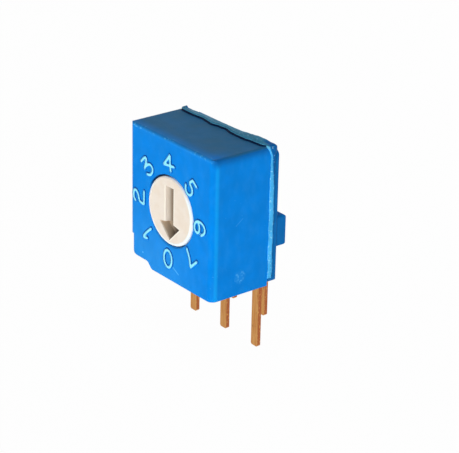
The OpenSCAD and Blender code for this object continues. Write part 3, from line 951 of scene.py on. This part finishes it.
@dataclass
class Numerals:
    """The raised figures 0 to 7 round the dial, with their heads outward.

    Attributes:
        face_y: The depth of the front face.
        axis_z: The height of the dial's axis.
        line: Half the width of a stroke.
        proud: How far a stroke stands off the face before it is flattened.
        flat: The share of that height which is left, so that the figures stay as low as the
            dial's face while they are shaded as round strokes.
        sides: The number of sides of a stroke.
        cap: The shares of a stroke's width that the two rings of a round end have.
        voxel: The grid on which a figure's strokes are fused.
        finish: The figures' finish.
    """

    face_y: float
    axis_z: float
    line: float = 0.14
    proud: float = 0.14
    flat: float = 0.13
    sides: int = 12
    cap: tuple[float, float] = (0.35, 0.75)
    voxel: float = 0.016
    finish: Finish = field(default_factory=lambda: FigureCyan(
        "numeral_cyan", srgb(150, 238, 255), srgb(230, 252, 255), 0.35, 0.002
    ))

    def placed(self, number: int, centre: Point, point: Point) -> Point:
        """Places a point of an upright figure on the face.

        Args:
            number: The figure.
            centre: Where it stands from the dial's axis.
            point: The point in the figure.

        Returns:
            The point as X and Z.
        """
        outward = math.radians(-90 - 45 * number)
        right = outward - math.pi / 2
        return (
            centre[0] + point[0] * math.cos(right) + point[1] * math.cos(outward),
            centre[1] + point[0] * math.sin(right) + point[1] * math.sin(outward) + self.axis_z,
        )

    def softened(self, path: list[Point]) -> list[Point]:
        """Cuts a path's corners round, save those that stand in it twice.

        Args:
            path: The path's points.

        Returns:
            The rounded path.
        """
        for _ in range(3):
            cut = [path[0]]
            for a, b in zip(path, path[1:]):
                run = (b[0] - a[0], b[1] - a[1])
                cut += [beyond(a, run, 0.25), beyond(b, run, -0.25)]
            path = cut + [path[-1]]
        return [a for a, b in zip(path, path[1:]) if math.dist(a, b) > 0.004] + [path[-1]]

    def rings(self, path: list[Point]) -> list[list[Vector]]:
        """Lays rings along a path on the face, with round ends.

        Args:
            path: The path's points.

        Returns:
            The rings of the stroke.
        """
        stations = [(0, share) for share in self.cap] + [(i, 1.0) for i in range(len(path))]
        stations += [(len(path) - 1, share) for share in reversed(self.cap)]
        made = []
        for n, (i, share) in enumerate(stations):
            before, after = path[max(i - 1, 0)], path[min(i + 1, len(path) - 1)]
            run = Vector((after[0] - before[0], after[1] - before[1])).normalized()
            back = math.sqrt(1 - share**2) * self.line * (-1 if n < len(self.cap) else 1)
            middle = Vector((path[i][0] + run.x * back, self.face_y, path[i][1] + run.y * back))
            beside = Vector((-run.y, 0, run.x))
            ring = []
            for k in range(self.sides):
                turn = 2 * math.pi * k / self.sides
                wide = beside * (math.cos(turn) * self.line * share)
                ring.append(middle + wide - Vector((0, math.sin(turn) * self.proud * share, 0)))
            made.append(ring)
        return made

    def build(self) -> list[bpy.types.Object]:
        """Builds one piece for each figure.

        Returns:
            The pieces.
        """
        material = self.finish.material()
        pieces = []
        for number, (centre, strokes) in enumerate(glyphs()):
            shell = bmesh.new()
            for stroke in strokes:
                path = self.softened([self.placed(number, centre, point) for point in stroke])
                MeshMaker.skin(shell, self.rings(path))
            made = MeshMaker.piece(f"numeral_{number}", shell, self.voxel)
            round_normals = [vert.normal.copy() for vert in made.data.vertices]
            for vert in made.data.vertices:
                vert.co.y = self.face_y * MM + (vert.co.y - self.face_y * MM) * self.flat
            made.data.normals_split_custom_set_from_vertices(round_normals)
            made.data.materials.append(material)
            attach(made, ROOT_BODY)
            pieces.append(made)
        return pieces


@dataclass(frozen=True)
class Panel:
    """The outline of a panel that stands on the board, with rounded top corners.

    Attributes:
        half: Half its width.
        top: Its height.
        corner_r: The rounding of its top corners.
    """

    half: float
    top: float
    corner_r: float

    def reach(self, start: Point, out: Point) -> float:
        """Returns how far the outline lies from a point inside its right half.

        Args:
            start: The point.
            out: The direction, from rightward to upward.

        Returns:
            The distance.
        """
        sides = [(self.half - start[0]) / out[0]] if out[0] > 1e-6 else []
        sides += [(self.top - start[1]) / out[1]] if out[1] > 1e-6 else []
        straight = min(sides)
        hub = (self.half - self.corner_r, self.top - self.corner_r)
        if start[0] + out[0] * straight <= hub[0] or start[1] + out[1] * straight <= hub[1]:
            return straight
        off = (start[0] - hub[0], start[1] - hub[1])
        along = off[0] * out[0] + off[1] * out[1]
        return math.sqrt(along**2 - off[0] ** 2 - off[1] ** 2 + self.corner_r**2) - along


def beyond(start: Point, out: Point, far: float) -> Point:
    """Returns the point that lies at a distance from a start in a direction."""
    return start[0] + out[0] * far, start[1] + out[1] * far


def between(table: Sequence[tuple[float, ...]], at: float) -> tuple[float, ...]:
    """Returns the values of a table at a place, eased from row to row.

    Args:
        table: Rows of a place and its values, in rising order.
        at: The place.

    Returns:
        The values there.
    """
    if at <= table[0][0]:
        return table[0][1:]
    for low, high in zip(table, table[1:]):
        if at <= high[0]:
            share = (at - low[0]) / (high[0] - low[0])
            share = share * share * (3 - 2 * share)
            return tuple(a + (b - a) * share for a, b in zip(low[1:], high[1:]))
    return table[-1][1:]


@dataclass(frozen=True)
class FlashBlue(MouldedBlue):
    """The melted flash: light blue on the sides, with painted light and shade on its teal lip.

    Attributes:
        box: The housing's box.
        lip: The colour of the lip's front, painted lighter as if lit.
        crease_shadow: The colour of the painted shadow in the fold under the lip's front.
        top_shade: The colour of the lip's top, painted darker as shade.
        turned: The colour where the flash turns the corners.
    """

    box: Box = field(default_factory=lambda: Box.of("housing"))
    lip: Colour = srgb(92, 178, 214)
    crease_shadow: Colour = srgb(0, 28, 66)
    top_shade: Colour = srgb(62, 142, 180)
    turned: Colour = srgb(4, 98, 170)

    def base(self, graph: Graph) -> bpy.types.NodeSocket:
        """Colours the flash by its place, and paints light and shade on its lip by the way it faces.

        Args:
            graph: The finish's graph.

        Returns:
            The colour output.
        """
        x, _, z = graph.parts(graph.place())
        _, _, up = graph.normal()
        _, behind, above = graph.past(self.box.high)
        patchy = graph.grain(0.3, 3.0, (1, 1, 3)).rise(0.35, 0.7)
        streak = graph.grain(0.16, 3.0, (4, 1, 1)).rise(0.4, 0.7)
        strip = graph.blend(patchy * 0.55, self.colour, dimmed(self.colour, 0.6))
        rear = behind - 0.34 + z.rise(3.6, 7.0) * 0.24 + z.rise(6.85, 7.45) * 0.17
        strip = graph.blend(rear.rise(-0.03, 0.03), strip, self.turned)
        # Painted light and shade on the lip: its top in shade and its front lit, by the way each
        # faces.
        top = graph.blend(streak * 0.5, self.top_shade, dimmed(self.top_shade, 0.55))
        lip = graph.blend(up.rise(0.35, 0.8), self.lip, top)
        # Painted shadow in the fold at the foot of the lip's front.
        root = above.rise(0.085, 0.055) * behind.rise(-0.2, -0.26)
        lip = graph.blend(root, lip, self.crease_shadow)
        corner = (abs(x) - self.box.high.x).rise(-0.7, -0.25) * behind.rise(-0.16, -0.02)
        lip = graph.blend(corner, lip, self.turned)
        return graph.blend(above.rise(0.02, -0.2), lip, strip)

    def marks(self, graph: Graph) -> Value:
        """Masks the pale crumbs of the melt.

        Args:
            graph: The finish's graph.

        Returns:
            How pale the flash is there, from 0 to 1.
        """
        _, behind, above = graph.past(self.box.high)
        top = above.rise(0.1, 0.14) * behind.rise(-0.12, -0.2)
        crumbly = above.rise(0.0, -0.06).most(top * 0.6)
        crumbs = graph.grain(0.11).rise(0.56, 0.68) * behind.rise(0.22, 0.14)
        return crumbs * crumbly * 0.6


@dataclass
class WeldFlash:
    """The melted seam round the joint, flat on the sides and a raised lip on the top.

    Attributes:
        seam: The box of the frame's plain bead, which the flash stands for.
        body: The box of the housing.
        cover: The box of the rear cover.
        body_r: The rounding of the housing's top corners.
        cover_r: The rounding of the cover's top corners.
        front_line: Places across the top, and the depth of the lip's front there.
        crest_line: Places across the top, and the depth and height of the lip's crest.
        crumbs: Heights on the sides at which crumbs stand out.
        lean: Heights on the sides, and how far forward the flash reaches there.
        turn_back: How much farther back the flash reaches at each top corner.
        lip_h: The height of the lip's front.
        steps: How many steps it takes for each millimetre.
        corner_steps: How many steps it takes round a corner.
        finish: Its finish.
    """

    seam: Box = field(default_factory=lambda: Box.of("weld_bead"))
    body: Box = field(default_factory=lambda: Box.of("housing"))
    cover: Box = field(default_factory=lambda: Box.of("rear_cover"))
    body_r: float = 0.14
    cover_r: float = 0.6
    front_line: tuple[tuple[float, ...], ...] = (
        (-3.4, -0.42), (-3.15, -0.54), (-2.28, -0.57), (-1.46, -0.5), (-0.59, -0.62), (-0.12, -0.51),
        (0.37, -0.47), (0.95, -0.59), (1.4, -0.6), (1.98, -0.58), (2.48, -0.5), (3.1, -0.45),
        (3.4, -0.3),
    )
    crest_line: tuple[tuple[float, ...], ...] = (
        (-3.4, -0.2, 0.15), (-3.1, -0.22, 0.01), (-2.4, -0.2, 0.05), (-1.0, -0.2, 0.08),
        (0.5, -0.2, 0.1), (1.1, -0.2, 0.12), (1.75, -0.14, 0.155), (2.06, -0.1, 0.175),
        (2.4, -0.06, 0.195), (2.8, -0.02, 0.17), (3.12, 0.03, 0.07), (3.3, 0.04, 0.06),
    )
    crumbs: tuple[float, ...] = (1.55, 3.35, 3.75)
    lean: tuple[tuple[float, ...], ...] = ((6.85, 0.0), (7.45, 0.17))
    turn_back: dict[Side, float] = field(default_factory=lambda: {Side.LEFT: -0.03, Side.RIGHT: 0.19})
    lip_h: float = 0.125
    steps: int = 22
    corner_steps: int = 44
    finish: Finish = field(default_factory=lambda: FlashBlue(
        "flash_blue", srgb(76, 190, 255), srgb(170, 232, 255), 0.4, 0.006
    ))

    def route(self) -> list[tuple[Side, Point, Point]]:
        """Returns stations from the foot of the right side to the foot of the left side.

        Returns:
            For each the side, the point inside the panel and the direction to its rim.
        """
        inset = self.cover_r
        foot, shoulder = self.seam.low.z, self.body.high.z - inset
        hub = self.body.high.x - inset
        rises = round((shoulder - foot) * self.steps)
        runs = round(hub * self.steps)
        half = [((hub, foot + (shoulder - foot) * i / rises), (1.0, 0.0)) for i in range(rises)]
        turns = [math.pi / 2 * i / self.corner_steps for i in range(self.corner_steps)]
        half += [((hub, shoulder), (math.cos(turn), math.sin(turn))) for turn in turns]
        half += [((hub * (1 - i / runs), shoulder), (0.0, 1.0)) for i in range(runs + 1)]
        right = [(Side.RIGHT, *station) for station in half]
        left = [(Side.LEFT, *station) for station in reversed(half[:-1])]
        return right + left

    def profile(
        self, side: Side, out: Point, across: float, height: float
    ) -> list[tuple[float, float, int]]:
        """Returns the outline of the flash at one station.

        Args:
            side: The side on which it stands.
            out: The direction to its rim.
            across: The place of the housing's rim across the switch.
            height: The height of the housing's rim.

        Returns:
            For each point its depth, its level over a rim, and 0 where that is the housing's rim
            or 1 where it is the cover's.
        """
        spot = Vector((across, 0, height))
        slow = noise.noise(spot * 1.3 + Vector((3.1, 0, 0)))
        quick = noise.noise(spot * 5.0 + Vector((0, 5.2, 0)))
        topness = min(max((out[1] / (out[0] + out[1]) - 0.35) / 0.3, 0), 1)
        bend = 1 - abs(math.degrees(math.atan2(out[1], out[0])) - 45) / 45
        joint = self.body.high.y
        lip_front, = between(self.front_line, across)
        crest_y, crest_h = between(self.crest_line, across)
        lean, = between(self.lean, height)
        crumb = sum(max(0.0, 1 - abs(height - at) / 0.07) for at in self.crumbs)

        def mixed(on_side: float, on_top: float) -> float:
            """Returns a size between those of the sides and of the top."""
            return on_side + (on_top - on_side) * topness

        front = mixed(joint + 0.01 + slow * 0.05 - lean, lip_front) + quick * mixed(0.02, 0.025)
        back = mixed(joint + 0.28 + slow * 0.05 + quick * 0.03, crest_y + 0.12)
        back += bend * self.turn_back[side]
        crest_y = mixed(joint + 0.18, crest_y)
        crest_h = mixed(0.07 + quick * 0.015 + crumb * 0.04, crest_h + quick * 0.012)
        face = mixed(0.045, self.lip_h) + quick * mixed(0.01, 0.02)
        top_y = front + 0.05
        foot = mixed(0.0, 0.1)
        return [
            (front + 0.04, -0.05, 0), (front - foot, -0.01, 0), (front - foot, mixed(0.0, 0.004), 0),
            (front - 0.01, mixed(0.005, 0.012), 0), (front - 0.01, face * 0.45, 0),
            (front + 0.008, face * 0.85, 0), (top_y, face, 0),
            (top_y + (crest_y - top_y) * 0.33, face + (crest_h - face) * 0.5, 0),
            (top_y + (crest_y - top_y) * 0.66, face + (crest_h - face) * 0.82, 0),
            (crest_y, crest_h, 0), (crest_y + (back - crest_y) * 0.5, crest_h * 0.9, 0),
            (back - 0.03, crest_h * 0.5 - bend * 0.08, 0),
            (back + 0.01, mixed(0.01, -0.04) - bend * 0.1, 0),
            (back + 0.01, -0.04, 1), (joint + 0.03, -0.06, 1),
        ]

    def section(self, side: Side, start: Point, out: Point) -> list[Vector]:
        """Returns one ring of the flash.

        Args:
            side: The side on which it stands.
            start: The point inside the panel.
            out: The direction to its rim.

        Returns:
            The ring's points.
        """
        rims = [
            Panel(self.body.high.x, self.body.high.z, self.body_r).reach(start, out),
            Panel(self.cover.high.x, self.cover.high.z, self.cover_r).reach(start, out),
        ]
        across, height = beyond(start, out, rims[0])
        limit = self.seam.high.x - self.body.high.x
        ring = []
        for depth, level, rim in self.profile(side, out, side.value * across, height):
            beside, up = beyond(start, out, rims[rim] + min(level, limit))
            ring.append(Vector((side.value * beside, depth, up)))
        return ring

    def build(self) -> list[bpy.types.Object]:
        """Builds the flash, which stands for the frame's plain bead.

        Returns:
            The flash alone.
        """
        shell = bmesh.new()
        MeshMaker.skin(shell, [self.section(*station) for station in self.route()])
        made = MeshMaker.piece("weld_flash", shell)
        made.data.materials.append(self.finish.material())
        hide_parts("weld_bead")
        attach(made, ROOT_BODY)
        return [made]


@dataclass
class FrameDress:
    """Gives the frame's nodes their finishes, save the bead, which the flash stands for.

    Attributes:
        nodes: The frame's nodes by name.
    """

    nodes: dict[str, bpy.types.Object]

    def plan(self) -> list[tuple[Finish, str, list[str]]]:
        """Plans the finishes.

        Returns:
            Each finish with the record's slot for it and the nodes that wear it.
        """
        # The cover's blue is a darker copy of the housing's blue, painted as shade.
        cover = MouldedBlue("cover_shaded_blue", srgb(8, 110, 184), srgb(60, 150, 210), 0.45, 0.005)
        steel = InnerMetal("ball_steel", roughness=0.12)
        wire = InnerMetal("spring_wire", roughness=0.3, grain=0.03)
        washer = InnerMetal("washer_steel", stretch=(8, 1, 1))
        bronze = InnerMetal("wiper_bronze", srgb(222, 168, 96), srgb(180, 122, 62), 0.3)
        gold = InnerMetal("track_gold", srgb(236, 190, 96), srgb(206, 150, 70), 0.25)
        laminate = InnerSolid(
            "board_laminate", srgb(38, 92, 66), srgb(70, 124, 88), 0.5, 0.1, (6, 1, 1)
        )
        return [
            (HousingBlue("housing_blue"), "housing", ["housing"]),
            (cover, "cover", ["rear_cover"]),
            (CreamPlastic("dial_cream"), "dial", ["dial"]),
            (InnerSolid("seal_rubber"), "seal", ["dial_seal"]),
            (washer, "washer", ["thrust_washer"]),
            (InnerSolid("cage_black", roughness=0.5), "cage", ["ball_cage"]),
            (steel, "balls", ["left_ball", "right_ball"]),
            (wire, "springs", ["left_spring", "right_spring"]),
            (bronze, "wiper", ["wiper"]),
            (laminate, "contact_board", ["contact_board"]),
            (gold, "tracks", ["common_track", "track_1", "track_2", "track_4"]),
            (CopperSheet("terminal_copper"), "terminals", [
                "terminal_1", "terminal_2", "terminal_4", "front_common_terminal",
                "rear_common_terminal",
            ]),
        ]

    def build(self) -> list[bpy.types.Object]:
        """Puts the finishes on the nodes.

        Returns:
            The nodes.
        """
        pieces = []
        for finish, slot, names in self.plan():
            material = finish.material()
            for name in names:
                piece = self.nodes[name]
                piece.data.materials.clear()
                piece.data.materials.append(material)
                pieces.append(piece)
        return pieces


@dataclass(frozen=True)
class Lamp:
    """A soft square lamp that looks at the switch.

    Attributes:
        name: The lamp's name.
        azimuth: Its direction round the switch: 0 in front, 90 at the right.
        elevation: Its direction above the horizon.
        level: The light that it gives a face turned to it, where 1 shows a colour as it is.
        size: The length of its side.
        distance: Its distance.
        glossy: Whether it shows in glossy surfaces.
    """

    name: str
    azimuth: float
    elevation: float
    level: float
    size: float = 90.0
    distance: float = 160.0
    glossy: bool = True

    def build(self, target: Vector) -> None:
        """Builds the lamp.

        Args:
            target: The point that it looks at.
        """
        light = bpy.data.lights.new(self.name, "AREA")
        light.size = self.size * MM
        light.energy = self.level * (math.pi * self.distance * MM) ** 2
        made = stand(self.name, light)
        back = direction(self.azimuth, self.elevation)
        made.location = (target + back * self.distance) * MM
        made.rotation_mode = "QUATERNION"
        made.rotation_quaternion = (-back).to_track_quat("-Z", "Y")
        made.visible_glossy = self.glossy


def direction(azimuth: float, elevation: float) -> Vector:
    """Returns the direction from the switch for an azimuth and an elevation in degrees."""
    a, e = math.radians(azimuth), math.radians(elevation)
    return Vector((math.sin(a) * math.cos(e), -math.cos(a) * math.cos(e), math.sin(e)))


@dataclass
class Studio:
    """The floor, the lamps, the surroundings and the camera.

    Attributes:
        ground_z: The height of the terminals' tips.
        azimuth: The camera's direction round the switch.
        elevation: The camera's direction above the horizon.
        roll: How far the camera is turned about its own line of sight.
        distance: The camera's distance from its target.
        target: The point in the middle of the picture.
        lens: The camera's focal length for a picture 36 mm wide.
        floor_reach: How far the floor reaches each way.
        floor_gap: How far the floor lies below those tips.
        white: The finish of the floor and of what lies round it.
        lamps: The lamps.
    """

    ground_z: float
    azimuth: float = 51.1351
    elevation: float = 23.6943
    roll: float = 1.2865
    distance: float = 91.15
    target: Vector = field(default_factory=lambda: Vector((2.2, -1.597, 3.173)))
    lens: float = 145.54
    floor_reach: float = 600.0
    floor_gap: float = 0.01
    white: FloorWhite = FloorWhite("floor_white")
    lamps: tuple[Lamp, ...] = (
        Lamp("front_lamp", 32, -8, 0.81, glossy=False),
        Lamp("left_lamp", -45, -32, 0.2, glossy=False),
        Lamp("right_lamp", 84, -5, 0.25),
        Lamp("top_lamp", 20, 82, 0.28, glossy=False),
        Lamp("rear_lamp", 190, 10, 0.5, glossy=False),
    )

    def camera(self) -> None:
        """Builds the camera at the picture's viewpoint."""
        view = bpy.data.cameras.new("camera")
        view.lens = self.lens
        view.sensor_width = 36.0
        view.clip_start = 1 * MM
        view.clip_end = 5000 * MM
        made = stand("camera", view)
        back = direction(self.azimuth, self.elevation)
        right = Vector((0, 0, 1)).cross(back).normalized()
        up = back.cross(right)
        turn = math.radians(self.roll)
        across = right * math.cos(turn) + up * math.sin(turn)
        above = up * math.cos(turn) - right * math.sin(turn)
        place = Matrix((across, above, back)).transposed().to_4x4()
        place.translation = (self.target + back * self.distance) * MM
        made.matrix_world = place
        bpy.context.scene.camera = made

    def surroundings(self) -> None:
        """Builds the white surroundings."""
        world = bpy.data.worlds.new("surroundings")
        world.use_nodes = True
        bpy.context.scene.world = world
        graph = Graph(world.node_tree)
        white = graph.blend(self.white.level(graph), (0.0, 0.0, 0.0), (1.0, 1.0, 1.0))
        sky = graph.node("ShaderNodeBackground", None, {"Color": white, "Strength": 1.0})
        graph.node("ShaderNodeOutputWorld", None, {"Surface": sky.outputs[0]})

    def floor(self) -> bpy.types.Object:
        """Builds the pale floor, which keeps the shadow of the switch.

        Returns:
            The floor.
        """
        shell = bmesh.new()
        level = self.ground_z - self.floor_gap
        reach = self.floor_reach
        corners = [(-reach, -reach), (reach, -reach), (reach, reach), (-reach, reach)]
        shell.faces.new([shell.verts.new((x, y, level)) for x, y in corners])
        made = MeshMaker.piece("floor", shell)
        made.visible_shadow = False
        made.data.materials.append(self.white.material())
        return made

    def build(self) -> list[bpy.types.Object]:
        """Builds the studio.

        Returns:
            Its floor alone.
        """
        self.camera()
        self.surroundings()
        floor = self.floor()
        for lamp in self.lamps:
            lamp.build(self.target)
        bpy.context.scene.view_settings.view_transform = "Standard"
        return [floor]


def main() -> None:
    """Builds the looks in order and reports each piece."""
    logging.basicConfig(level=logging.INFO, format="%(message)s")
    makers = [
        Studio(ground_z=cad_box[0].z / MM),
        FrameDress(frame["nodes"]),
        Numerals(Box.of("housing").low.y, Box.of("dial").centre.z),
        WeldFlash(),
    ]
    for maker in makers:
        for piece in maker.build():
            finish = piece.data.materials[0].name
            LOG.info("%s: %s, %d faces", piece.name, finish, len(piece.data.polygons))


if __name__ == "__main__":
    main()
